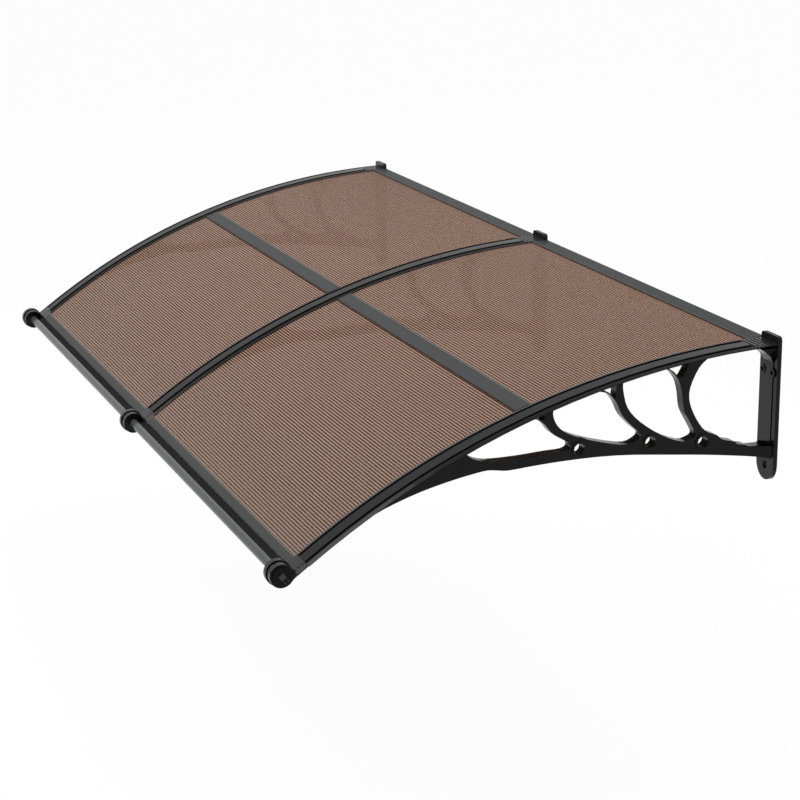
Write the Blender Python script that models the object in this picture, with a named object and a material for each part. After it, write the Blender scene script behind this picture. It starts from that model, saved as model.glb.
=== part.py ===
"""Two-bay door canopy: moulded brackets, bronze twin-wall sheets and the extrusions that join and edge them.

Metres, +Z up. X runs along the wall, the wall is the plane Y = 0 and the canopy reaches out towards -Y.
The origin lies on the wall behind the middle bracket. A place on the curved roof is given by s, the arc
length from the wall along the rail top, and n, the distance above the rail top. A place on a bracket's
side is given by its reach from the wall and its drop straight down from the rail top.
"""
import math

import bmesh
import bpy
from mathutils import Matrix, Vector

# Layout
BAY = 1.0  # between bracket centres
BRACKETS = {"left": -1, "middle": 0, "right": 1}
BAYS = {"left": -0.5, "right": 0.5}
GAP = 0.0003  # between pieces that touch

# Arc of the rail top
RAIL_RADIUS = 1.5413
RAIL_BEHIND = 0.055  # arc centre behind the wall plane
RAIL_DROP = 0.0108  # rail top below the plate top, at the wall
RAIL_STEPS = 20

# Wall plate of a bracket
PLATE_TOP = 0.130
PLATE_HALF = 0.030
PLATE_THICK = 0.008
PLATE_HEIGHT = 0.262
PLATE_CORNER = 0.007
PLATE_GROOVE = 0.0008
PLATE_GROOVES = 3
TAB_HOLE = 0.010
TAB_HOLE_DEPTH = 0.235  # below the plate top
TAB_SINK = 0.016
TAB_SINK_DEPTH = 0.003
FIXING_HOLE = 0.009
FIXING_BOSS = 0.017
FIXING_BOSS_PROUD = 0.003
FIXING_SPREAD = 0.0165
FIXING_DEPTH = 0.066
COLUMN_HALF = 0.0175
COLUMN_PROUD = 0.0014

# Section of the rail, as half widths and as heights n
COVER_HALF = 0.033
GROOVE_HALF = 0.024
BEAM_HALF = 0.013
BEAM_EDGE = 0.0005
LIP_TOP = -0.0003
GROOVE_FLOOR = -0.0022
LIP_EDGE = -0.0019
COVER_UNDER = -0.0029
WEB_HALF = 0.009
SHELF_HALF = 0.014
SHELF_THICK = 0.0016
BODY_HALF = 0.011

# Twin-wall sheets
SHEET_THICK = 0.0045
SHEET_SIDE_CLEARANCE = 0.0015
SHEET_START = 0.010
SHEET_END = 0.946
FLUTE_PITCH = 0.0055
FLUTE_SKIN = 0.0005
FLUTE_RIB = 0.0006

# Strips along the roof
COVER_START = 0.051
JOINT_MIDDLE = 0.4663
JOINT_WIDTH = 0.031
JOINT_WEB = 0.0019
STRIP_FLANGE = 0.0014
STRIP_RISE = 0.0015
FRONT_STRIP_WIDTH = 0.018
FRONT_STRIP_LEG = 0.0017

# End blocks of the rail, which carry the flanges beside the cover strip
BLOCK_HALF = 0.031
BLOCK_RISE = 0.0015
RIB_RISE = 0.0012
RIB_WIDTH = 0.0032
WALL_RIB_HALF = 0.028
WALL_RIBS = 5
WALL_RIB_START = 0.014
WALL_RIB_PITCH = 0.0076
HEAD_RIBS = 3
HEAD_RIB_IN = 0.0035  # first rib behind the block's start
HEAD_RIB_PITCH = 0.0076
HEAD_BLOCK = 0.0227  # length of the block beside the front strip

# Head and front tube
HEAD_AHEAD = 0.0206  # tube axis in front of the front strip
HEAD_RISE = 0.0081
DISC_RADIUS = 0.0175
DISC_DEEP = 0.002
BARREL_RADIUS = 0.0205
RING_RADIUS = 0.0190
RING_WIDE = 0.002
COLLAR_RADIUS = 0.0225
COLLAR_LENGTH = 0.012
BARREL_LENGTH = 0.018
HEAD_FACE = 0.017  # right face of the head, beside the bracket's middle
TUBE_RADIUS = 0.0085
TUBE_WALL = 0.0015
TUBE_CLEARANCE = 0.00035
FIN_THICK = 0.002
FIN_LEVEL = -0.0042
CAP_FLANGE = 0.0165
CAP_THICK = 0.0012
CAP_PLUG = 0.010
CAP_SQUARE = 0.0105
CAP_SQUARE_PROUD = 0.0016
CAP_BAR = (0.0022, 0.0065)
CAP_BAR_PROUD = 0.0009
CAP_BAR_OUT = 0.0118

# Profile and seal at the wall
PROFILE_DEEP = 0.032
PROFILE_SHELF = 0.022
PROFILE_WEB = 0.0017
PROFILE_DROP = 0.026
PROFILE_RISE = 0.0016
PROFILE_RIBS = 5
PROFILE_RIB_RISE = 0.0007
PROFILE_HOLE = 0.005
PROFILE_HOLE_DROP = 0.018
PROFILE_HOLES = 3
SEAL_WIDE = 0.003
SEAL_RISE = 0.0018

# Side view of a bracket, as (reach, drop) points in metres that a smooth curve runs through
FOOT = [(0.004, 0.2110), (0.032, 0.2040), (0.100, 0.1890), (0.200, 0.1648), (0.300, 0.1358), (0.400, 0.1085),
        (0.460, 0.0920), (0.500, 0.0801), (0.520, 0.0700), (0.538, 0.0610), (0.560, 0.0545), (0.600, 0.0441),
        (0.659, 0.0297), (0.720, 0.0178), (0.756, 0.0138)]
NOSE = [(0.461, 0.0109), (0.448, 0.0160), (0.434, 0.0316), (0.420, 0.0526), (0.402, 0.0696), (0.388, 0.0832),
        (0.388, 0.0915), (0.400, 0.0920), (0.422, 0.0858), (0.480, 0.0692), (0.535, 0.0476), (0.563, 0.0276),
        (0.576, 0.0118)]
MIDDLE = [(0.419, 0.0105), (0.419, 0.0225), (0.411, 0.0421), (0.3935, 0.0620), (0.3565, 0.0873),
          (0.311, 0.1111), (0.280, 0.1230), (0.262, 0.1207), (0.255, 0.1130), (0.271, 0.0953),
          (0.291, 0.0694), (0.3025, 0.0432), (0.3175, 0.0221), (0.338, 0.0102)]
REAR = [(0.291, 0.0105), (0.2905, 0.0250), (0.2815, 0.0580), (0.2573, 0.0899), (0.217, 0.1247),
        (0.1785, 0.1464), (0.161, 0.1470), (0.151, 0.1410), (0.159, 0.1233), (0.1746, 0.0922),
        (0.1794, 0.0623), (0.1865, 0.0372), (0.2020, 0.0163), (0.2125, 0.0102)]
WALL_SIDE = [(0.132, 0.0102), (0.1487, 0.0237), (0.164, 0.0546), (0.164, 0.0806), (0.1515, 0.1109),
             (0.133, 0.1377), (0.110, 0.1505), (0.1035, 0.1570), (0.094, 0.1628), (0.0746, 0.1693),
             (0.0688, 0.1746), (0.0535, 0.1787), (0.042, 0.1831), (0.004, 0.1854)]
SLOTS = [[(0.452, 0.0112), (0.436, 0.0214), (0.432, 0.0112)],
         [(0.331, 0.0105), (0.317, 0.0195), (0.305, 0.0345), (0.304, 0.0105)],
         [(0.2065, 0.0102), (0.196, 0.0190), (0.183, 0.0345), (0.174, 0.0250), (0.166, 0.0102)]]
EYES = [(0.370, 0.0994), (0.237, 0.1318), (0.1365, 0.1573)]
EYE_HOLE = 0.0206
EYE_BOSS = 0.029
EYE_BOSS_PROUD = 0.0018
# Funnel under the rail, as (depth below the plate top, half width, reach) of its levels
GUSSET_REACH = 0.038
GUSSET = [(0.028, 0.0245, 0.026), (0.036, 0.0200, 0.0165), (0.048, 0.0175, 0.0092)]
# Widening root of the lower chord, as (reach, half width, upper drop, lower drop)
CHORD_ROOT = [(0.006, 0.0250, 0.1860, 0.2095), (0.012, 0.0185, 0.1856, 0.2080),
              (0.022, 0.0135, 0.1856, 0.2058), (0.042, 0.0105, 0.1850, 0.2010)]
NECK_DROP = 0.0122  # underside of the bracket between its foot and the head, below the rail top
NECK_BLEND = 0.020  # the neck starts this far beyond the foot's last point
NECK_STEPS = 6
CURVE_STEPS = 3
ROUND_STEPS = 24
SMOOTH_ANGLE = math.radians(32)
WELD = 0.000002

# Finishes, as colour, roughness and metallic value
BLACK = (0.012, 0.012, 0.013)
BRONZE = (0.20, 0.125, 0.095)
GREY = (0.075, 0.078, 0.080)
FINISHES = {
    "moulding": (BLACK, 0.22, 0.0),
    "cap": (BLACK, 0.30, 0.0),
    "rubber": (BLACK, 0.60, 0.0),
    "sheet": (BRONZE, 0.25, 0.0),
    "cover": (GREY, 0.35, 0.6),
    "strip": (GREY, 0.40, 0.7),
    "tube": (GREY, 0.25, 0.8),
}

# Values that follow from those above
SHEET_TOP = COVER_UNDER - GAP
SHEET_UNDER = SHEET_TOP - SHEET_THICK
SHELF_TOP = SHEET_UNDER - GAP
SHELF_UNDER = SHELF_TOP - SHELF_THICK
BODY_TOP = SHELF_TOP - SHELF_THICK / 2
CUT_ABOVE = -SHEET_UNDER
FLANGE_TOP = COVER_UNDER + STRIP_RISE
ARC_START = math.asin(RAIL_BEHIND / RAIL_RADIUS)
ARC_Y = RAIL_BEHIND
ARC_Z = PLATE_TOP - RAIL_DROP - RAIL_RADIUS * math.cos(ARC_START)
FRONT_STRIP_END = SHEET_END + GAP + FRONT_STRIP_LEG
COVER_END = FRONT_STRIP_END - HEAD_BLOCK - GAP
HEAD_S = FRONT_STRIP_END + HEAD_AHEAD
HEAD_X0 = HEAD_FACE - BARREL_LENGTH - RING_WIDE - COLLAR_LENGTH


def rail_point(s, n=0.0):
    """Y and Z of the place s along the rail top and n above it."""
    angle = ARC_START + s / RAIL_RADIUS
    radius = RAIL_RADIUS + n
    return ARC_Y - radius * math.sin(angle), ARC_Z + radius * math.cos(angle)


def below_rail(reach, drop):
    """Y and Z of the place at this reach from the wall, straight down from the rail top."""
    return -reach, ARC_Z + math.sqrt(RAIL_RADIUS ** 2 - (reach + RAIL_BEHIND) ** 2) - drop


def smooth_line(points, steps=CURVE_STEPS):
    """Catmull-Rom curve through the points, with this many steps between neighbours."""
    ends = [points[0], *points, points[-1]]
    line = []
    for a, b, c, d in zip(ends, ends[1:], ends[2:], ends[3:]):
        for step in range(steps):
            t = step / steps
            line.append(tuple(0.5 * (2 * q + (r - p) * t + (2 * p - 5 * q + 4 * r - w) * t * t
                                     + (3 * q - p - 3 * r + w) * t ** 3) for p, q, r, w in zip(a, b, c, d)))
    line.append(points[-1])
    return line


def circle(centre, radius, steps=ROUND_STEPS):
    """Round outline about a centre in Y and Z."""
    turns = [2 * math.pi * step / steps for step in range(steps)]
    return [(centre[0] + radius * math.cos(t), centre[1] + radius * math.sin(t)) for t in turns]


def finish(name, kind):
    """Principled material of one kind of finish."""
    colour, roughness, metallic = FINISHES[kind]
    material = bpy.data.materials.new(name)
    material.use_nodes = True
    shader = material.node_tree.nodes["Principled BSDF"]
    shader.inputs["Base Color"].default_value = (*colour, 1.0)
    shader.inputs["Roughness"].default_value = roughness
    shader.inputs["Metallic"].default_value = metallic
    return material


def shade(bm):
    """Smooth shading with sharp edges where faces meet at a clear angle."""
    bmesh.ops.recalc_face_normals(bm, faces=bm.faces[:])
    for face in bm.faces:
        face.smooth = True
    for edge in bm.edges:
        edge.smooth = edge.is_manifold and edge.calc_face_angle(0.0) < SMOOTH_ANGLE


def to_object(bm, name):
    """Object in the scene made from the bmesh, which is freed."""
    shade(bm)
    mesh = bpy.data.meshes.new(name)
    bm.to_mesh(mesh)
    bm.free()
    obj = bpy.data.objects.new(name, mesh)
    bpy.context.scene.collection.objects.link(obj)
    return obj


def extrude_x(bm, length):
    """Thicken the flat faces of the bmesh along X into a closed solid."""
    grown = bmesh.ops.extrude_face_region(bm, geom=bm.faces[:], use_keep_orig=True)["geom"]
    moved = [item for item in grown if isinstance(item, bmesh.types.BMVert)]
    bmesh.ops.translate(bm, vec=(length, 0, 0), verts=moved)


def prism(name, outline, x0, x1):
    """Solid with a Y and Z outline, from x0 to x1."""
    bm = bmesh.new()
    bm.faces.new([bm.verts.new((x0, y, z)) for y, z in outline])
    extrude_x(bm, x1 - x0)
    return to_object(bm, name)


def box(name, x, y, z):
    """Box between the ends of three ranges."""
    return prism(name, [(y[0], z[0]), (y[1], z[0]), (y[1], z[1]), (y[0], z[1])], x[0], x[1])


def rail_bar(name, section, start, end, steps=RAIL_STEPS):
    """Bar with a section in X and n, swept along the rail by a spin about the arc's axis."""
    bm = bmesh.new()
    ring = [bm.verts.new((x, *rail_point(start, n))) for x, n in section]
    edges = [bm.edges.new((a, b)) for a, b in zip(ring, ring[1:] + ring[:1])]
    bmesh.ops.spin(bm, geom=ring + edges, cent=(0, ARC_Y, ARC_Z), axis=(1, 0, 0),
                   angle=(end - start) / RAIL_RADIUS, steps=steps)
    bmesh.ops.holes_fill(bm, edges=[edge for edge in bm.edges if edge.is_boundary])
    return to_object(bm, name)


def round_y(name, x, z, radius, y0, y1, end_radius=None):
    """Round solid along Y, with another radius at y1 where it is a cone."""
    bm = bmesh.new()
    middle = Matrix.Translation(Vector((x, (y0 + y1) / 2, z))) @ Matrix.Rotation(-math.pi / 2, 4, "X")
    bmesh.ops.create_cone(bm, cap_ends=True, segments=ROUND_STEPS // 2, radius1=radius,
                          radius2=radius if end_radius is None else end_radius, depth=y1 - y0, matrix=middle)
    return to_object(bm, name)


def loft(name, loops):
    """Closed solid through loops of corners."""
    bm = bmesh.new()
    rings = [[bm.verts.new(point) for point in loop] for loop in loops]
    for low, high in zip(rings, rings[1:]):
        for i in range(len(low)):
            j = (i + 1) % len(low)
            bm.faces.new((low[i], low[j], high[j], high[i]))
    bm.faces.new(rings[0])
    bm.faces.new(rings[-1])
    return to_object(bm, name)


def combined(name, body, *stages):
    """Mesh of the body after each (operation, operands) stage; the operands and the body are used up."""
    used = [body]
    for index, (operation, operands) in enumerate(stages):
        group = bpy.data.collections.new(f"{name}_{index}")
        for operand in operands:
            group.objects.link(operand)
        used += operands
        modifier = body.modifiers.new(f"{operation.lower()}_{index}", "BOOLEAN")
        modifier.operation = operation
        modifier.operand_type = "COLLECTION"
        modifier.collection = group
        modifier.solver = "EXACT"
    bpy.context.view_layer.update()
    result = body.evaluated_get(bpy.context.evaluated_depsgraph_get())
    bm = bmesh.new()
    bm.from_mesh(result.to_mesh())
    bmesh.ops.remove_doubles(bm, verts=bm.verts[:], dist=WELD)
    shade(bm)
    mesh = bpy.data.meshes.new(name)
    bm.to_mesh(mesh)
    bm.free()
    for obj in used:
        bpy.data.objects.remove(obj, do_unlink=True)
    return mesh


def place(name, mesh, x, material):
    """Named copy of a mesh at a place along the wall."""
    obj = bpy.data.objects.new(name, mesh)
    obj.location.x = x
    bpy.context.scene.collection.objects.link(obj)
    if not mesh.materials:
        mesh.materials.append(None)
    obj.material_slots[0].link = "OBJECT"
    obj.material_slots[0].material = material
    return obj


def mesh_of(obj):
    """Mesh of an object that is no longer needed in the scene."""
    mesh = obj.data
    bpy.data.objects.remove(obj, do_unlink=True)
    return mesh


def side_outline():
    """Outline of a bracket's flat body: under the rail to the neck, back along the foot to the wall plate."""
    neck = HEAD_S - BARREL_RADIUS / 2
    start = PLATE_THICK / 2
    top = [rail_point(start + (neck - start) * i / RAIL_STEPS, BODY_TOP) for i in range(RAIL_STEPS + 1)]
    joint = (math.asin((FOOT[-1][0] + RAIL_BEHIND) / RAIL_RADIUS) - ARC_START) * RAIL_RADIUS + NECK_BLEND
    along = [neck + (joint - neck) * i / NECK_STEPS for i in range(NECK_STEPS + 1)]
    neck_line = [rail_point(s, -NECK_DROP) for s in along]
    foot = [below_rail(*point) for point in reversed(smooth_line(FOOT))]
    return top + neck_line + foot


def opening(points):
    """Cutter for an opening whose ends run up into the rail."""
    line = smooth_line(points)
    line.insert(0, (points[0][0], CUT_ABOVE))
    line.append((points[-1][0], CUT_ABOVE))
    return prism("opening", [below_rail(*point) for point in line], -2 * BODY_HALF, 2 * BODY_HALF)


def slot(points):
    """Cutter for a small slot under the rail."""
    line = [(points[0][0], CUT_ABOVE), *smooth_line(points, 2), (points[-1][0], CUT_ABOVE)]
    return prism("slot", [below_rail(*point) for point in line], -2 * BODY_HALF, 2 * BODY_HALF)


def wall_plate():
    """Plate with rounded top corners and a half-round lower end."""
    low = PLATE_TOP - PLATE_HEIGHT + PLATE_HALF
    turns = [math.pi * (1 + i / ROUND_STEPS * 2) for i in range(ROUND_STEPS // 2 + 1)]
    outline = [(PLATE_HALF * math.cos(t), low + PLATE_HALF * math.sin(t)) for t in turns]
    for side, first in ((1, 0.0), (-1, math.pi / 2)):
        for i in range(4):
            t = first + math.pi / 2 * i / 3
            outline.append((side * (PLATE_HALF - PLATE_CORNER) + PLATE_CORNER * math.cos(t),
                            PLATE_TOP - PLATE_CORNER + PLATE_CORNER * math.sin(t)))
    bm = bmesh.new()
    face = bm.faces.new([bm.verts.new((x, 0, z)) for x, z in outline])
    grown = bmesh.ops.extrude_face_region(bm, geom=[face], use_keep_orig=True)["geom"]
    moved = [item for item in grown if isinstance(item, bmesh.types.BMVert)]
    bmesh.ops.translate(bm, vec=(0, -PLATE_THICK, 0), verts=moved)
    return to_object(bm, "plate")


def rail_gusset():
    """Funnel under the rail that spreads from the column to the width of the plate."""
    under = SHELF_TOP - GAP
    front = rail_point(GUSSET_REACH, under)
    back = rail_point(PLATE_THICK / 2, under)
    loops = [[(-PLATE_HALF, *back), (PLATE_HALF, *back), (PLATE_HALF, *front), (-PLATE_HALF, *front)]]
    for depth, half, reach in GUSSET:
        z = PLATE_TOP - depth
        root = -PLATE_THICK / 2
        loops.append([(-half, root, z), (half, root, z), (half, -reach, z), (-half, -reach, z)])
    return loft("rail_gusset", loops)


def chord_root():
    """Foot of the lower chord, which widens where it meets the plate."""
    loops = []
    for reach, half, upper, lower in CHORD_ROOT:
        high = below_rail(reach, upper)
        low = below_rail(reach, lower)
        loops.append([(-half, *low), (half, *low), (half, *high), (-half, *high)])
    return loft("chord_root", loops)


def end_block(start, end, ribs_from, ribs_pitch, ribs, rib_half, rail_end):
    """Flanged end of the rail beside the cover strip, with cross ribs on top."""
    top = COVER_UNDER + BLOCK_RISE
    core = WEB_HALF - GAP
    pieces = [rail_bar("flange", [(-BLOCK_HALF, COVER_UNDER), (BLOCK_HALF, COVER_UNDER), (BLOCK_HALF, top),
                                  (-BLOCK_HALF, top)], start, end, 4),
              rail_bar("core", [(-core, SHEET_UNDER), (core, SHEET_UNDER), (core, top - GAP),
                                (-core, top - GAP)], start + GAP, rail_end - GAP, 4)]
    for i in range(ribs):
        s = ribs_from + i * ribs_pitch
        pieces.append(rail_bar("rib", [(-rib_half, top - GAP), (rib_half, top - GAP),
                                       (rib_half - RIB_RISE, top + RIB_RISE),
                                       (RIB_RISE - rib_half, top + RIB_RISE)], s, s + RIB_WIDTH, 1))
    return pieces


def head_parts():
    """Neck, and the disc, barrel, ring and collar of the head about the tube's axis."""
    axis = rail_point(HEAD_S, HEAD_RISE)
    face = HEAD_FACE
    ring = face - BARREL_LENGTH
    collar = ring - RING_WIDE
    overlap = GAP
    low, high = HEAD_RISE - BARREL_RADIUS, COVER_UNDER + BLOCK_RISE
    ends = (SHEET_END + GAP, HEAD_S - TUBE_RADIUS)
    neck = [(ends[0], SHEET_UNDER), (HEAD_S, low + GAP), (ends[1], high), (ends[0], high)]
    return [prism("neck", [rail_point(s, n) for s, n in neck], -BODY_HALF + GAP, face - GAP),
            prism("disc", circle(axis, DISC_RADIUS), face - DISC_DEEP - overlap, face),
            prism("barrel", circle(axis, BARREL_RADIUS), ring, face - DISC_DEEP),
            prism("ring", circle(axis, RING_RADIUS), collar - overlap, ring + overlap),
            prism("collar", circle(axis, COLLAR_RADIUS), HEAD_X0, collar)]


def bracket_mesh():
    """One moulding: wall plate, rail, lower chord, three crescents with eyes, and the head."""
    body = prism("body", side_outline(), -BODY_HALF, BODY_HALF)
    holes = [opening(points) for points in (NOSE, MIDDLE, REAR, WALL_SIDE)]
    holes += [slot(points) for points in SLOTS]
    start = PLATE_THICK / 2
    neck_end = HEAD_S - BARREL_RADIUS / 2
    column_low = below_rail(PLATE_THICK, (CHORD_ROOT[0][2] + CHORD_ROOT[0][3]) / 2)[1]
    members = [
        rail_bar("web", [(-WEB_HALF, SHELF_TOP - GAP), (WEB_HALF, SHELF_TOP - GAP), (WEB_HALF, SHEET_TOP),
                         (-WEB_HALF, SHEET_TOP)], start, neck_end),
        rail_bar("shelf", [(-SHELF_HALF, SHELF_UNDER), (SHELF_HALF, SHELF_UNDER), (SHELF_HALF, SHELF_TOP),
                           (-SHELF_HALF, SHELF_TOP)], start, FRONT_STRIP_END),
        wall_plate(),
        box("column", (-COLUMN_HALF, COLUMN_HALF), (-PLATE_THICK - COLUMN_PROUD, -PLATE_THICK / 2),
            (column_low, rail_point(PLATE_THICK, SHELF_TOP - GAP)[1])),
        rail_gusset(),
        chord_root(),
        *end_block(start, COVER_START - GAP, WALL_RIB_START, WALL_RIB_PITCH, WALL_RIBS, WALL_RIB_HALF,
                   COVER_START - GAP),
        *end_block(COVER_END + GAP, FRONT_STRIP_END, COVER_END + HEAD_RIB_IN, HEAD_RIB_PITCH, HEAD_RIBS,
                   BEAM_HALF, neck_end),
        *head_parts(),
    ]
    for reach, drop in EYES:
        members.append(prism("eye_boss", circle(below_rail(reach, drop), EYE_BOSS / 2, ROUND_STEPS // 2),
                             -BODY_HALF - EYE_BOSS_PROUD, BODY_HALF + EYE_BOSS_PROUD))
    fixing_z = PLATE_TOP - FIXING_DEPTH
    for side in (-1, 1):
        members.append(round_y("fixing_boss", side * FIXING_SPREAD, fixing_z, FIXING_BOSS / 2,
                               -PLATE_THICK - FIXING_BOSS_PROUD, -PLATE_THICK / 2))
    bores = [prism("bore", circle(rail_point(HEAD_S, HEAD_RISE), TUBE_RADIUS + TUBE_CLEARANCE),
                   HEAD_X0 - BODY_HALF, 2 * BODY_HALF)]
    for reach, drop in EYES:
        bores.append(prism("eye", circle(below_rail(reach, drop), EYE_HOLE / 2, ROUND_STEPS // 2),
                           -2 * BODY_HALF, 2 * BODY_HALF))
    for side in (-1, 1):
        bores.append(round_y("fixing_hole", side * FIXING_SPREAD, fixing_z, FIXING_HOLE / 2,
                             -2 * PLATE_THICK, PLATE_THICK))
    tab_z = PLATE_TOP - TAB_HOLE_DEPTH
    bores.append(round_y("tab_hole", 0, tab_z, TAB_HOLE / 2, -2 * PLATE_THICK, PLATE_THICK))
    bores.append(round_y("tab_sink", 0, tab_z, TAB_SINK / 2 + GAP, -PLATE_THICK - GAP,
                         -PLATE_THICK + TAB_SINK_DEPTH, TAB_HOLE / 2))
    for i in range(PLATE_GROOVES):
        y = -PLATE_THICK * (i + 1) / (PLATE_GROOVES + 1)
        bores.append(box("groove", (-2 * PLATE_HALF, 2 * PLATE_HALF),
                         (y - PLATE_GROOVE / 2, y + PLATE_GROOVE / 2),
                         (PLATE_TOP - PLATE_GROOVE, PLATE_TOP + PLATE_GROOVE)))
    return combined("bracket", body, ("DIFFERENCE", holes), ("UNION", members), ("DIFFERENCE", bores))


def cover_mesh():
    """Clamping strip on the rail: raised beam, a groove on each side and a falling lip over the sheets."""
    right = [(COVER_HALF, COVER_UNDER), (COVER_HALF, LIP_EDGE), (GROOVE_HALF, LIP_TOP),
             (GROOVE_HALF, GROOVE_FLOOR), (BEAM_HALF, GROOVE_FLOOR), (BEAM_HALF, -BEAM_EDGE),
             (BEAM_HALF - BEAM_EDGE, 0.0)]
    section = right + [(-x, n) for x, n in reversed(right)]
    return mesh_of(rail_bar("cover", section, COVER_START, COVER_END))


def sheet_mesh(start, end):
    """Twin-wall sheet whose flutes run along X and are open at both ends."""
    half = BAY / 2 - WEB_HALF - SHEET_SIDE_CLEARANCE
    cells = max(1, round((end - start) / FLUTE_PITCH))
    pitch = (end - start) / cells
    bm = bmesh.new()

    def corner(s, n):
        return bm.verts.new((-half, *rail_point(s, n)))

    seams = [(corner(start + i * pitch, SHEET_TOP), corner(start + i * pitch, SHEET_UNDER))
             for i in range(cells + 1)]
    for i, (left, right) in enumerate(zip(seams, seams[1:])):
        a = start + i * pitch + FLUTE_RIB / 2
        b = start + (i + 1) * pitch - FLUTE_RIB / 2
        outer = [left[0], right[0], right[1], left[1]]
        inner = [corner(a, SHEET_TOP - FLUTE_SKIN), corner(b, SHEET_TOP - FLUTE_SKIN),
                 corner(b, SHEET_UNDER + FLUTE_SKIN), corner(a, SHEET_UNDER + FLUTE_SKIN)]
        for k in range(4):
            j = (k + 1) % 4
            bm.faces.new((outer[k], outer[j], inner[j], inner[k]))
    extrude_x(bm, 2 * half)
    return mesh_of(to_object(bm, "sheet"))


def joint_mesh():
    """H section between the rear and the front sheet."""
    half = BAY / 2 - COVER_HALF - GAP
    low, high = SHELF_TOP - STRIP_FLANGE, FLANGE_TOP
    edges = (JOINT_MIDDLE - JOINT_WIDTH / 2, JOINT_MIDDLE + JOINT_WIDTH / 2)
    web = (JOINT_MIDDLE - JOINT_WEB / 2, JOINT_MIDDLE + JOINT_WEB / 2)
    outline = [(edges[0], low), (edges[1], low), (edges[1], SHELF_TOP), (web[1], SHELF_TOP),
               (web[1], COVER_UNDER), (edges[1], COVER_UNDER), (edges[1], high), (edges[0], high),
               (edges[0], COVER_UNDER), (web[0], COVER_UNDER), (web[0], SHELF_TOP), (edges[0], SHELF_TOP)]
    return mesh_of(prism("joint", [rail_point(s, n) for s, n in outline], -half, half))


def front_strip_mesh():
    """Channel that closes the front edge of the front sheet."""
    half = BAY / 2 - BLOCK_HALF - GAP
    end = FRONT_STRIP_END
    start = end - FRONT_STRIP_WIDTH
    inner = SHEET_END + GAP
    low, high = SHELF_TOP - STRIP_FLANGE, FLANGE_TOP
    outline = [(start, low), (end, low), (end, high), (start, high), (start, COVER_UNDER),
               (inner, COVER_UNDER), (inner, SHELF_TOP), (start, SHELF_TOP)]
    return mesh_of(prism("front_strip", [rail_point(s, n) for s, n in outline], -half, half))


def front_tube_mesh():
    """Round tube between two heads, with a fin that closes the gap to the front strip."""
    axis = rail_point(HEAD_S, HEAD_RISE)
    ring = HEAD_FACE - BARREL_LENGTH
    start = -BAY / 2 + ring
    end = BAY / 2 + ring - RING_WIDE
    fin_start = -BAY / 2 + HEAD_FACE + GAP
    fin_end = BAY / 2 + HEAD_X0 - GAP
    root = FRONT_STRIP_END + GAP
    fin = [(root, FIN_LEVEL - FIN_THICK / 2), (HEAD_S - TUBE_RADIUS / 2, HEAD_RISE - TUBE_RADIUS),
           (HEAD_S - TUBE_RADIUS / 2, HEAD_RISE - TUBE_RADIUS / 2), (root, FIN_LEVEL + FIN_THICK / 2)]
    body = prism("tube", circle(axis, TUBE_RADIUS), start, end)
    blade = prism("fin", [rail_point(s, n) for s, n in fin], fin_start, fin_end)
    hollow = prism("hollow", circle(axis, TUBE_RADIUS - TUBE_WALL), start - TUBE_RADIUS, end + TUBE_RADIUS)
    return combined("front_tube", body, ("UNION", [blade]), ("DIFFERENCE", [hollow]))


def wall_profile_mesh():
    """Ribbed profile that holds the rear edge of the sheet and is screwed to the wall."""
    half = BAY / 2 - BLOCK_HALF - GAP
    back, front = GAP, PROFILE_DEEP
    top = -COVER_UNDER - PROFILE_RISE
    web = back + PROFILE_WEB
    pitch = (front - back) / (PROFILE_RIBS + 0.5)
    crest = [(back, top)]
    for i in range(PROFILE_RIBS):
        rib = back + pitch * (i + 0.5)
        crest += [(rib, top), (rib + pitch * 0.1, top - PROFILE_RIB_RISE),
                  (rib + pitch * 0.4, top - PROFILE_RIB_RISE), (rib + pitch * 0.5, top)]
    outline = crest + [(front, top), (front, -COVER_UNDER), (web, -COVER_UNDER), (web, -SHELF_TOP),
                       (PROFILE_SHELF, -SHELF_TOP), (PROFILE_SHELF, -SHELF_UNDER), (web, -SHELF_UNDER),
                       (web, PROFILE_DROP), (back, PROFILE_DROP)]
    body = prism("profile", [below_rail(*point) for point in outline], -half, half)
    z = below_rail(back, PROFILE_HOLE_DROP)[1]
    spread = [half * 2 * (i - (PROFILE_HOLES - 1) / 2) / PROFILE_HOLES for i in range(PROFILE_HOLES)]
    holes = [round_y("screw_hole", x, z, PROFILE_HOLE / 2, -PLATE_THICK, PLATE_THICK) for x in spread]
    return combined("wall_profile", body, ("DIFFERENCE", holes))


def wall_seal_mesh():
    """Rubber strip that lies on the sheet along the front of the wall profile."""
    half = BAY / 2 - BLOCK_HALF - GAP
    start = PROFILE_DEEP + GAP
    outline = [(start, -COVER_UNDER), (start + SEAL_WIDE, -COVER_UNDER),
               (start + SEAL_WIDE, -COVER_UNDER - SEAL_RISE), (start, -COVER_UNDER - SEAL_RISE)]
    return mesh_of(prism("seal", [below_rail(*point) for point in outline], -half, half))


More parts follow.
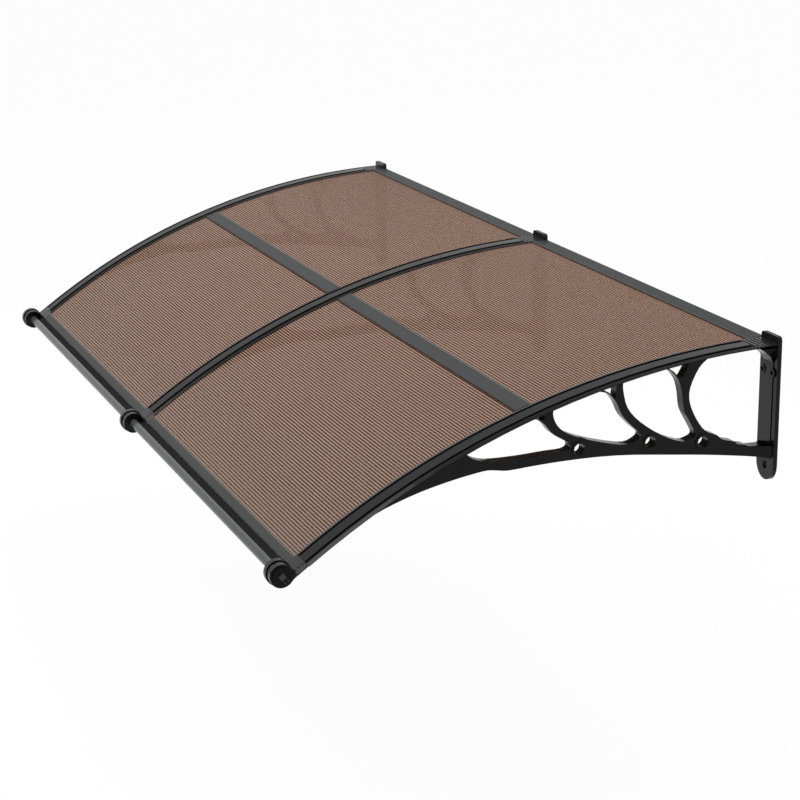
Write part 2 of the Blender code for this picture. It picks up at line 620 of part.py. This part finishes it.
def cap_mesh(face, outward):
    """Plug for the open end of a head, with a square boss and two small bars on its flange."""
    y, z = rail_point(HEAD_S, HEAD_RISE)
    inner = face + outward * GAP
    outer = inner + outward * CAP_THICK
    plug = face - outward * CAP_PLUG

    def span(a, b):
        return min(a, b), max(a, b)

    def block(name, half_along, half_across, along, across, proud):
        corners = [(along - half_along, across - half_across), (along + half_along, across - half_across),
                   (along + half_along, across + half_across), (along - half_along, across + half_across)]
        outline = [rail_point(HEAD_S + s, HEAD_RISE + n) for s, n in corners]
        return prism(name, outline, *span(outer - outward * CAP_THICK / 2, outer + outward * proud))

    body = prism("cap", circle((y, z), CAP_FLANGE), *span(inner, outer))
    square = CAP_SQUARE / 2
    parts = [prism("plug", circle((y, z), TUBE_RADIUS), *span(plug, outer - outward * CAP_THICK / 2)),
             block("square", square, square, 0.0, 0.0, CAP_SQUARE_PROUD)]
    for along in (-CAP_BAR[1] / 2, CAP_BAR[1] / 2):
        parts.append(block("bar", CAP_BAR[0] / 2, CAP_BAR[0], along, -CAP_BAR_OUT, CAP_BAR_PROUD))
    return combined("head_cap", body, ("UNION", parts))


def build():
    """Model every piece and place it."""
    for obj in list(bpy.data.objects):
        bpy.data.objects.remove(obj, do_unlink=True)
    bracket = bracket_mesh()
    cover = cover_mesh()
    for side, index in BRACKETS.items():
        place(f"bracket_{side}", bracket, index * BAY, finish(f"black_moulding_{side}", "moulding"))
        place(f"cover_strip_{side}", cover, index * BAY, finish(f"dark_strip_{side}", "cover"))

    joint_rear = JOINT_MIDDLE - JOINT_WEB / 2 - GAP
    joint_front = JOINT_MIDDLE + JOINT_WEB / 2 + GAP
    bay_pieces = [
        ("sheet_rear", sheet_mesh(SHEET_START, joint_rear), "sheet"),
        ("sheet_front", sheet_mesh(joint_front, SHEET_END), "sheet"),
        ("joint_strip", joint_mesh(), "strip"),
        ("front_strip", front_strip_mesh(), "strip"),
        ("front_tube", front_tube_mesh(), "tube"),
        ("wall_profile", wall_profile_mesh(), "strip"),
        ("wall_seal", wall_seal_mesh(), "rubber"),
    ]
    for side, middle in BAYS.items():
        for name, mesh, kind in bay_pieces:
            place(f"{name}_{side}", mesh, middle * BAY, finish(f"{name}_{side}_finish", kind))

    place("head_cap_left", cap_mesh(HEAD_X0, -1), BRACKETS["left"] * BAY, finish("cap_left", "cap"))
    place("head_cap_right", cap_mesh(HEAD_FACE, 1), BRACKETS["right"] * BAY, finish("cap_right", "cap"))


build()
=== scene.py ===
"""Looks of the two-bay door canopy: finishes of its pieces, rounded mouldings, stage, lamps and camera."""
from __future__ import annotations

import logging
import math
from dataclasses import dataclass
from enum import Enum
from typing import Any, Union

import bmesh
import bpy
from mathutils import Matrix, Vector


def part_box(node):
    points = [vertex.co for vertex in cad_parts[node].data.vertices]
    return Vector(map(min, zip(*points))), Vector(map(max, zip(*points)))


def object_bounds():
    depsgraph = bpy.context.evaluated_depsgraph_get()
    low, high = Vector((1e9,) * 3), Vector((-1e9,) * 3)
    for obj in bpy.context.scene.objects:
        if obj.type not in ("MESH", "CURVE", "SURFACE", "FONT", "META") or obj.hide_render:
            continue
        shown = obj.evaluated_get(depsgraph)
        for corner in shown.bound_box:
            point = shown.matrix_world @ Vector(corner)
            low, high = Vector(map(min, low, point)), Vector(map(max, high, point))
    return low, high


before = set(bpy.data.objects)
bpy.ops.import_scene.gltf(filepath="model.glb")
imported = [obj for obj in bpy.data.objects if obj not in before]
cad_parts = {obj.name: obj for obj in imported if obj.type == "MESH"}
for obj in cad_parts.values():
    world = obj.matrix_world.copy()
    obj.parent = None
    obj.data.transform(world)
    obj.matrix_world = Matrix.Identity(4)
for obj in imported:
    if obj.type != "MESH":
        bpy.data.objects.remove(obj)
CAD_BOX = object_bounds()
LOG = logging.getLogger("canopy")
Colour = tuple[float, float, float]
Place = tuple[float, float, float]
Value = Union["Socket", float]


class Grain(Enum):
    """Direction in which an extrusion is drawn."""

    ALONG_WALL = "wall"
    ALONG_RAIL = "rail"


@dataclass(frozen=True)
class Arc:
    """Arc of the rail top, in the frame's own Y and Z."""

    radius: float = 1.5413
    behind: float = 0.055
    top: float = 0.1192

    @property
    def start(self) -> float:
        """Angle of the arc at the wall, from the vertical."""
        return math.asin(self.behind / self.radius)

    @property
    def centre(self) -> tuple[float, float]:
        """Y and Z of the arc's centre."""
        return self.behind, self.top - self.radius * math.cos(self.start)

    def along(self, y: float, z: float) -> float:
        """Distance of a place from the wall, along the arc.

        Args:
            y: Y of the place.
            z: Z of the place.

        Returns:
            Arc length along the rail top.
        """
        centre_y, centre_z = self.centre
        return (math.atan2(centre_y - y, z - centre_z) - self.start) * self.radius


ARC = Arc()


@dataclass(frozen=True)
class Pattern:
    """Noise pattern: cells per metre along X, Y and Z, and its octaves."""

    cells: tuple[float, float, float]
    octaves: float


@dataclass(frozen=True)
class Relief:
    """Fine relief: strength of the bump, and the height in metres that 1 stands for."""

    strength: float
    height: float


class Socket:
    """Shader output that can be used in sums."""

    def __init__(self, graph: Graph, output: bpy.types.NodeSocket) -> None:
        """Wrap an output of a graph."""
        self.graph = graph
        self.output = output

    def _sum(self, operation: str, *values: Value) -> Socket:
        """Math node on one or two values."""
        return self.graph.node("ShaderNodeMath", {"operation": operation}, dict(enumerate(values)))

    def __add__(self, other: Value) -> Socket:
        """Socket plus a value."""
        return self._sum("ADD", self, other)

    def __radd__(self, other: Value) -> Socket:
        """Value plus the socket."""
        return self._sum("ADD", other, self)

    def __sub__(self, other: Value) -> Socket:
        """Socket minus a value."""
        return self._sum("SUBTRACT", self, other)

    def __rsub__(self, other: Value) -> Socket:
        """Value minus the socket."""
        return self._sum("SUBTRACT", other, self)

    def __mul__(self, other: Value) -> Socket:
        """Socket times a value."""
        return self._sum("MULTIPLY", self, other)

    def __rmul__(self, other: Value) -> Socket:
        """Value times the socket."""
        return self._sum("MULTIPLY", other, self)

    def __truediv__(self, other: Value) -> Socket:
        """Socket divided by a value."""
        return self._sum("DIVIDE", self, other)

    def __rtruediv__(self, other: Value) -> Socket:
        """Value divided by the socket."""
        return self._sum("DIVIDE", other, self)

    def fract(self) -> Socket:
        """Part after the decimal point."""
        return self._sum("FRACT", self)

    def size(self) -> Socket:
        """Absolute value."""
        return self._sum("ABSOLUTE", self)

    def step(self, low: float, high: float) -> Socket:
        """Smooth step from 0 at low to 1 at high.

        Args:
            low: Value that gives 0.
            high: Value that gives 1.

        Returns:
            The stepped value.
        """
        return self.graph.node("ShaderNodeMapRange", {"interpolation_type": "SMOOTHSTEP"},
                               {"Value": self, "From Min": low, "From Max": high})


class Graph:
    """Shader nodes under construction."""

    def __init__(self, tree: bpy.types.NodeTree) -> None:
        """Work on a node tree."""
        self.tree = tree

    def node(self, kind: str, settings: dict[str, Any], inputs: dict[Any, Any], output: Any = 0) -> Socket:
        """Any other node.

        Args:
            kind: Blender's type name of the node.
            settings: Properties, which are set first.
            inputs: Values or sockets by input name or index.
            output: Name or index of the output that is wanted.

        Returns:
            The wrapped output.
        """
        made = self.tree.nodes.new(kind)
        for key, value in settings.items():
            setattr(made, key, value)
        for key, value in inputs.items():
            self.feed(made.inputs[key], value)
        return Socket(self, made.outputs[output])

    def feed(self, target: bpy.types.NodeSocket, value: Any) -> None:
        """Link a socket or set a value.

        Args:
            target: Input to feed.
            value: Wrapped socket, number or colour.
        """
        if isinstance(value, Socket):
            self.tree.links.new(value.output, target)
        elif target.type == "RGBA":
            target.default_value = (*value, 1.0)
        else:
            target.default_value = value

    def seen(self) -> Socket:
        """Mask of the rays that show the background.

        Returns:
            1 for camera, glossy and transmission rays, and 0 for the rays that light the object.
        """
        camera = self.node("ShaderNodeLightPath", {}, {}, "Is Camera Ray")
        kinds = camera.output.node.outputs
        return camera + Socket(self, kinds["Is Glossy Ray"]) + Socket(self, kinds["Is Transmission Ray"])


class Paint(Graph):
    """Material under construction."""

    def __init__(self, name: str) -> None:
        """Start a material.

        Args:
            name: Name of the material.
        """
        self.material = bpy.data.materials.new(name)
        self.material.use_nodes = True
        super().__init__(self.material.node_tree)
        self.shader = self.tree.nodes["Principled BSDF"]

    def axes(self) -> tuple[Socket, Socket, Socket]:
        """Place on the piece.

        Returns:
            X, Y and Z of the object coordinates.
        """
        place = self.node("ShaderNodeTexCoord", {}, {}, "Object")
        split = self.node("ShaderNodeSeparateXYZ", {}, {0: place}).output.node
        x, y, z = (Socket(self, output) for output in split.outputs)
        return x, y, z

    def arc_length(self) -> Socket:
        """Distance from the wall, along the rail's arc.

        Returns:
            Arc length in metres.
        """
        _, y, z = self.axes()
        centre_y, centre_z = ARC.centre
        angle = self.node("ShaderNodeMath", {"operation": "ARCTAN2"}, {0: centre_y - y, 1: z - centre_z})
        return (angle - ARC.start) * ARC.radius

    def _noise(self, x: Value, y: Value, z: Value, octaves: float) -> Socket:
        """Noise over a stretched place.

        Args:
            x: First coordinate, in cells.
            y: Second coordinate, in cells.
            z: Third coordinate, in cells.
            octaves: Octaves of the noise.

        Returns:
            The noise, between 0 and 1.
        """
        place = self.node("ShaderNodeCombineXYZ", {}, {0: x, 1: y, 2: z})
        return self.node("ShaderNodeTexNoise", {"noise_dimensions": "3D"},
                         {"Vector": place, "Scale": 1.0, "Detail": octaves})

    def noise(self, pattern: Pattern) -> Socket:
        """Noise in the frame's own directions.

        Args:
            pattern: Cells and octaves.

        Returns:
            The noise, between 0 and 1.
        """
        x, y, z = (axis * cells for axis, cells in zip(self.axes(), pattern.cells))
        return self._noise(x, y, z, pattern.octaves)

    def rail_noise(self, across: float, along: float, octaves: float) -> Socket:
        """Noise drawn out along the rail.

        Args:
            across: Cells per metre across the rail.
            along: Cells per metre along it.
            octaves: Octaves of the noise.

        Returns:
            The noise, between 0 and 1.
        """
        x, _, _ = self.axes()
        return self._noise(x * across, self.arc_length() * along, 0.0, octaves)

    def mix(self, factor: Value, first: Any, second: Any) -> Socket:
        """Blend of two colours.

        Args:
            factor: Share of the second colour.
            first: Colour or socket.
            second: Colour or socket.

        Returns:
            The blended colour.
        """
        # a Mix node for colours has its factor at input 0, the colours at 6 and 7, and the result at output 2
        return self.node("ShaderNodeMix", {"data_type": "RGBA"}, {0: factor, 6: first, 7: second}, 2)

    def bump(self, height: Socket, relief: Relief) -> Socket:
        """Normal from a height.

        Args:
            height: Height between 0 and 1.
            relief: Strength and height of the relief.

        Returns:
            The normal.
        """
        return self.node("ShaderNodeBump", {},
                         {"Strength": relief.strength, "Distance": relief.height, "Height": height})

    def finish(self, **inputs: Any) -> bpy.types.Material:
        """Feed the principled shader.

        Args:
            **inputs: Input names with underscores for spaces.

        Returns:
            The material.
        """
        for name, value in inputs.items():
            self.feed(self.shader.inputs[name.replace("_", " ")], value)
        return self.material


def scaled(colour: Colour, share: float) -> Colour:
    """Colour whose channels are multiplied by a share."""
    return tuple(share * channel for channel in colour)


@dataclass(frozen=True)
class Moulding:
    """Glossy black moulded plastic with a slight orange-peel skin."""

    name: str = "black_moulding"
    deep: Colour = (0.0022, 0.0022, 0.0024)
    paler_tone: Colour = (0.0055, 0.0055, 0.0060)
    roughness: float = 0.16
    spread: float = 0.10
    gloss: float = 0.14
    cloud: Pattern = Pattern((9.0, 9.0, 9.0), 4.0)
    skin: Pattern = Pattern((320.0, 320.0, 320.0), 2.0)
    relief: Relief = Relief(0.25, 0.00012)

    def build(self) -> bpy.types.Material:
        """Make the material.

        Returns:
            The material.
        """
        paint = Paint(self.name)
        cloud = paint.noise(self.cloud)
        return paint.finish(Base_Color=paint.mix(cloud, self.deep, self.paler_tone),
                            Roughness=cloud * self.spread + self.roughness,
                            Specular_IOR_Level=self.gloss,
                            Normal=paint.bump(paint.noise(self.skin), self.relief))


@dataclass(frozen=True)
class Extrusion:
    """Coated extrusion with fine lines along the way it was drawn.

    A strip may have a painted highlight, a light grey line, on its edge toward the wall, and a painted
    shadow, a black line, on its front edge, at the two arc lengths in edges. It may also be matt black up
    to an arc length.
    """

    name: str
    dark: Colour
    light: Colour
    roughness: float
    grain: Grain
    gloss: float = 0.06
    edges: tuple[float, float] = (0.0, 0.0)
    black_band_reach: float = 0.0
    spread: float = 0.12
    lines: float = 900.0
    drawn_out: float = 3.0
    line_octaves: float = 2.0
    line_share: float = 0.55
    cloud_share: float = 0.45
    cloud: Pattern = Pattern((4.0, 14.0, 14.0), 3.0)
    relief: Relief = Relief(0.12, 0.0001)
    # painted highlight line on the edge toward the wall: its colour, and the insets from that edge between
    # which it fades out
    painted_highlight: Colour = (0.17, 0.165, 0.16)
    painted_highlight_ends: tuple[float, float] = (0.0008, 0.0015)
    # black of the painted shadow line on the front edge and of the matt black band; insets where the painted
    # shadow line starts
    black: Colour = (0.002, 0.002, 0.002)
    painted_shadow_starts: tuple[float, float] = (0.0020, 0.0013)
    black_band_blur: float = 0.0003
    black_band_roughness: float = 0.95

    def build(self) -> bpy.types.Material:
        """Make the material.

        Returns:
            The material.
        """
        paint = Paint(self.name)
        drawn = self._drawn(paint)
        cloud = paint.noise(self.cloud)
        shade = paint.mix(drawn * self.line_share + cloud * self.cloud_share, self.dark, self.light)
        rough = cloud * self.spread + self.roughness
        rear, front = self.edges
        # painted highlight line on the edge toward the wall, and painted shadow line on the front edge
        if front > rear:
            reach = paint.arc_length()
            shade = paint.mix(reach.step(*(rear + inset for inset in self.painted_highlight_ends)), self.painted_highlight, shade)
            shade = paint.mix(reach.step(*(front - inset for inset in self.painted_shadow_starts)), shade, self.black)
        # matt black band from the wall side up to an arc length, rougher than the rest
        if self.black_band_reach:
            bare = paint.arc_length().step(self.black_band_reach - self.black_band_blur, self.black_band_reach + self.black_band_blur)
            shade = paint.mix(bare, self.black, shade)
            rough = rough * bare + (1.0 - bare) * self.black_band_roughness
        return paint.finish(Base_Color=shade, Roughness=rough, Specular_IOR_Level=self.gloss,
                            Normal=paint.bump(drawn, self.relief))

    def _drawn(self, paint: Paint) -> Socket:
        """Fine lines of the extrusion.

        Args:
            paint: Material under construction.

        Returns:
            Noise that is drawn out along the grain.
        """
        if self.grain is Grain.ALONG_RAIL:
            return paint.rail_noise(self.lines, self.drawn_out, self.line_octaves)
        return paint.noise(Pattern((self.drawn_out, self.lines, self.lines), self.line_octaves))


@dataclass(frozen=True)
class PlugMoulding:
    """Black plug whose raised boss and bars are a lighter grey."""

    name: str
    level: float
    raised: float = 0.0012
    blur: float = 0.0002
    deep: Colour = (0.003, 0.003, 0.003)
    raised_grey: Colour = (0.060, 0.060, 0.062)
    raised_grey_share: float = 0.5
    roughness: float = 0.28
    spread: float = 0.15
    gloss: float = 0.10
    speck: Pattern = Pattern((260.0, 260.0, 260.0), 2.0)
    relief: Relief = Relief(0.2, 0.0001)

    @classmethod
    def of_node(cls, name: str) -> PlugMoulding:
        """Finish whose lighter grey faces lie on one plug.

        Args:
            name: Node name.

        Returns:
            The finish.
        """
        low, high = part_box(name)
        return cls(f"moulded_{name}", max(abs(low.x), abs(high.x)) - cls.raised)

    def build(self) -> bpy.types.Material:
        """Make the material.

        Returns:
            The material.
        """
        paint = Paint(self.name)
        x, _, _ = paint.axes()
        raised = x.size().step(self.level - self.blur, self.level + self.blur)
        speck = paint.noise(self.speck)
        paler_tone = paint.mix(speck, self.raised_grey, scaled(self.raised_grey, self.raised_grey_share))
        return paint.finish(Base_Color=paint.mix(raised, self.deep, paler_tone),
                            Roughness=speck * self.spread + self.roughness,
                            Specular_IOR_Level=self.gloss,
                            Normal=paint.bump(speck, self.relief))


@dataclass(frozen=True)
class Rubber:
    """Matt black rubber with a fine grain."""

    name: str = "seal_rubber"
    dark: Colour = (0.006, 0.006, 0.006)
    light: Colour = (0.016, 0.016, 0.016)
    roughness: float = 0.55
    spread: float = 0.25
    speck: Pattern = Pattern((700.0, 700.0, 700.0), 3.0)
    relief: Relief = Relief(0.3, 0.0001)

    def build(self) -> bpy.types.Material:
        """Make the material.

        Returns:
            The material.
        """
        paint = Paint(self.name)
        speck = paint.noise(self.speck)
        return paint.finish(Base_Color=paint.mix(speck, self.dark, self.light),
                            Roughness=speck * self.spread + self.roughness,
                            Normal=paint.bump(speck, self.relief))


@dataclass(frozen=True)
class BronzeSheet:
    """Bronze translucent sheet with a dark line of painted shade over each of the ribs of its flutes."""

    name: str
    start: float
    pitch: float
    flute: float = 0.0055
    light: Colour = (0.44, 0.272, 0.192)
    cloudy: float = 0.80
    cloud_share: float = 0.5
    streak_share: float = 0.3
    # colour of the painted shade over the ribs
    dark: Colour = (0.022, 0.008, 0.005)
    faded: float = 1.8
    line: tuple[float, float] = (0.34, 0.66)
    alpha: float = 0.56
    roughness: float = 0.30
    spread: float = 0.10
    gloss: float = 0.01
    cloud: Pattern = Pattern((3.0, 5.0, 5.0), 3.0)
    streak: Pattern = Pattern((4.0, 120.0, 120.0), 2.0)
    relief: Relief = Relief(0.20, 0.0002)

    @classmethod
    def of_node(cls, name: str, obj: bpy.types.Object) -> BronzeSheet:
        """Finish whose lines of painted shade fall on the ribs of one sheet.

        Args:
            name: Node name.
            obj: The node's object.

        Returns:
            The finish.
        """
        reach = [ARC.along(vertex.co.y, vertex.co.z) for vertex in obj.data.vertices]
        start, end = min(reach), max(reach)
        flutes = round((end - start) / cls.flute)
        LOG.info("%s: %d flutes of %.2f mm", name, flutes, (end - start) / flutes * 1000)
        return cls(f"bronze_{name}", start, (end - start) / flutes)

    def build(self) -> bpy.types.Material:
        """Make the material.

        Returns:
            The material.
        """
        paint = Paint(self.name)
        cell = ((paint.arc_length() - self.start) / self.pitch).fract()
        # 0 in the middle of a flute and 1 over the ribs at its two sides, which get a dark line of painted
        # shade
        painted_rib_shade = ((cell - 0.5).size() * 2.0).step(*self.line)
        cloud = paint.noise(self.cloud)
        streak = paint.noise(self.streak)
        light = paint.mix(cloud * self.cloud_share + streak * self.streak_share, self.light,
                          scaled(self.light, self.cloudy))
        # painted shade over the ribs, streaked
        dark = paint.mix(streak, self.dark, scaled(self.dark, self.faded))
        return paint.finish(Base_Color=paint.mix(painted_rib_shade, light, dark),
                            Roughness=cloud * self.spread + self.roughness,
                            Alpha=self.alpha, Specular_IOR_Level=self.gloss,
                            Normal=paint.bump(1.0 - painted_rib_shade, self.relief))


@dataclass(frozen=True)
class EdgeRound:
    """Small round on the edges of a moulding."""

    width: float = 0.0003
    segments: int = 2
    angle: float = math.radians(40)
    weld: float = 0.00001

    def apply(self, obj: bpy.types.Object) -> None:
        """Add the modifiers that round the edges.

        Args:
            obj: CAD node's object.
        """
        weld = obj.modifiers.new("weld", "WELD")
        weld.merge_threshold = self.weld
        bevel = obj.modifiers.new("bevel", "BEVEL")
        bevel.width = self.width
        bevel.segments = self.segments
        bevel.limit_method = "ANGLE"
        bevel.angle_limit = self.angle
        bevel.use_clamp_overlap = True


def pieces(family: str) -> list[tuple[str, bpy.types.Object]]:
    """CAD pieces of one family.

    Args:
        family: Start of the pieces' names.

    Returns:
        Name and object of each piece, in the order of their names.
    """
    found = [(name, obj) for name, obj in sorted(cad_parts.items()) if name.startswith(family)]
    if not found:
        raise ValueError(f"no piece is named {family}")
    return found


def wear(name: str, obj: bpy.types.Object, material: bpy.types.Material) -> None:
    """Give one piece its material and report it.

    Args:
        name: Node name.
        obj: The node's object.
        material: Material that the piece gets.
    """
    for slot in obj.material_slots:
        slot.link = "OBJECT"
        slot.material = material
    LOG.info("%s wears %s", name, material.name)


@dataclass(frozen=True)
class Brackets:
    """Three moulded brackets."""

    finish: Moulding = Moulding()
    edges: EdgeRound = EdgeRound()

    def build(self) -> None:
        """Dress the brackets and round their edges."""
        material = self.finish.build()
        for name, obj in pieces("bracket_"):
            wear(name, obj, material)
            self.edges.apply(obj)


@dataclass(frozen=True)
class HeadCaps:
    """Plugs in the open outer ends of the two end heads."""

    def build(self) -> None:
        """Dress each plug in a finish of its own."""
        for name, obj in pieces("head_cap_"):
            wear(name, obj, PlugMoulding.of_node(name).build())


@dataclass(frozen=True)
class Sheets:
    """Four fluted sheets."""

    def build(self) -> None:
        """Dress each sheet in a finish of its own."""
        for name, obj in pieces("sheet_"):
            wear(name, obj, BronzeSheet.of_node(name, obj).build())


@dataclass(frozen=True)
class Strips:
    """Pieces of one family that share a finish."""

    family: str
    finish: Union[Extrusion, Rubber]

    def build(self) -> None:
        """Dress the pieces."""
        material = self.finish.build()
        for name, obj in pieces(self.family):
            wear(name, obj, material)


STRIPS = (
    Strips("cover_strip_", Extrusion(
        "cover_finish", dark=(0.0022, 0.0022, 0.0023), light=(0.0060, 0.0062, 0.0062), roughness=0.11,
        grain=Grain.ALONG_RAIL, gloss=0.055)),
    Strips("joint_strip_", Extrusion(
        "joint_finish", dark=(0.020, 0.021, 0.022), light=(0.046, 0.047, 0.048), roughness=0.38,
        grain=Grain.ALONG_WALL, edges=(0.4508, 0.4818))),
    Strips("front_strip_", Extrusion(
        "front_finish", dark=(0.022, 0.023, 0.024), light=(0.050, 0.051, 0.052), roughness=0.38,
        grain=Grain.ALONG_WALL, edges=(0.9300, 0.9482))),
    Strips("front_tube_", Extrusion(
        "tube_finish", dark=(0.034, 0.036, 0.038), light=(0.062, 0.064, 0.066), roughness=0.12,
        grain=Grain.ALONG_WALL, gloss=0.16, black_band_reach=0.9612)),
    Strips("wall_profile_", Extrusion(
        "profile_finish", dark=(0.012, 0.013, 0.014), light=(0.030, 0.031, 0.032), roughness=0.30,
        grain=Grain.ALONG_WALL)),
    Strips("wall_seal_", Rubber()),
)


@dataclass(frozen=True)
class Lamp:
    """Soft square lamp that looks at the canopy."""

    name: str
    place: Place
    width: float
    power: float

    def build(self, target: Vector) -> None:
        """Add the lamp.

        Args:
            target: Point that it faces.
        """
        data = bpy.data.lights.new(self.name, "AREA")
        data.size = self.width
        data.energy = self.power
        obj = bpy.data.objects.new(self.name, data)
        obj.location = self.place
        obj.rotation_euler = (Vector(self.place) - target).to_track_quat("Z", "Y").to_euler()
        bpy.context.scene.collection.objects.link(obj)


@dataclass(frozen=True)
class Stage:
    """Pale floor, plain world and soft lamps."""

    drop: float = 0.55
    size: float = 40.0
    floor: Colour = (0.90, 0.90, 0.90)
    floor_roughness: float = 0.9
    white: Colour = (1.0, 1.0, 1.0)
    background: float = 1.0
    light: float = 0.60
    shadow_share: float = 0.05
    lamps: tuple[Lamp, ...] = (
        Lamp("key", (-2.6, -3.2, 3.4), 2.6, 120.0),
        Lamp("top", (0.6, -0.2, 3.2), 2.2, 60.0),
        Lamp("rim", (2.6, 2.4, 2.2), 1.8, 35.0),
    )

    def build(self) -> None:
        """Make the floor, the world and the lamps."""
        low, high = CAD_BOX
        bm = bmesh.new()
        bmesh.ops.create_grid(bm, x_segments=1, y_segments=1, size=self.size)
        mesh = bpy.data.meshes.new("floor")
        bm.to_mesh(mesh)
        bm.free()
        floor = bpy.data.objects.new("floor", mesh)
        floor.location.z = low.z - self.drop
        bpy.context.scene.collection.objects.link(floor)
        floor.data.materials.append(self._floor_material())
        self._world()
        for lamp in self.lamps:
            lamp.build((low + high) / 2)

    def _floor_material(self) -> bpy.types.Material:
        """Floor that is white to the camera and keeps a share of the shadow.

        Returns:
            The material.
        """
        paint = Paint("floor_paint")
        material = paint.finish(Base_Color=self.floor, Roughness=self.floor_roughness)
        body = Socket(paint, paint.shader.outputs[0])
        white = paint.node("ShaderNodeEmission", {}, {"Color": self.white, "Strength": self.background})
        bare = paint.seen() * (1.0 - self.shadow_share)
        both = paint.node("ShaderNodeMixShader", {}, {0: bare, 1: body, 2: white})
        paint.feed(paint.tree.nodes["Material Output"].inputs["Surface"], both)
        return material

    def _world(self) -> None:
        """Make the world white to the camera and plain for light."""
        world = bpy.data.worlds.new("studio")
        world.use_nodes = True
        graph = Graph(world.node_tree)
        strength = graph.node("ShaderNodeMapRange", {},
                              {"Value": graph.seen(), "To Min": self.light, "To Max": self.background})
        back = graph.tree.nodes["Background"]
        graph.feed(back.inputs["Color"], self.white)
        graph.feed(back.inputs["Strength"], strength)
        bpy.context.scene.world = world


@dataclass(frozen=True)
class Viewpoint:
    """Camera at the photograph's angle, with its focal length in pixels of the photograph's frame."""

    place: Place = (4.438, -1.954, 1.047)
    azimuth: float = math.radians(69.80)
    elevation: float = math.radians(14.88)
    focal: float = 2317.0
    picture: float = 800.0
    sensor: float = 36.0
    far: float = 100.0

    def build(self) -> None:
        """Make the camera."""
        data = bpy.data.cameras.new("camera")
        data.sensor_width = self.sensor
        data.lens = self.focal / self.picture * self.sensor
        data.clip_end = self.far
        obj = bpy.data.objects.new("camera", data)
        flat = math.cos(self.elevation)
        back = Vector((math.sin(self.azimuth) * flat, -math.cos(self.azimuth) * flat,
                       math.sin(self.elevation)))
        obj.location = self.place
        obj.rotation_euler = back.to_track_quat("Z", "Y").to_euler()
        bpy.context.scene.collection.objects.link(obj)
        bpy.context.scene.camera = obj


def main() -> None:
    """Dress the canopy and set the stage."""
    logging.basicConfig(level=logging.INFO, format="%(name)s: %(message)s")
    bpy.context.scene.view_settings.view_transform = "Standard"
    for part in (Viewpoint(), Brackets(), HeadCaps(), Sheets(), *STRIPS, Stage()):
        part.build()


if __name__ == "__main__":
    main()
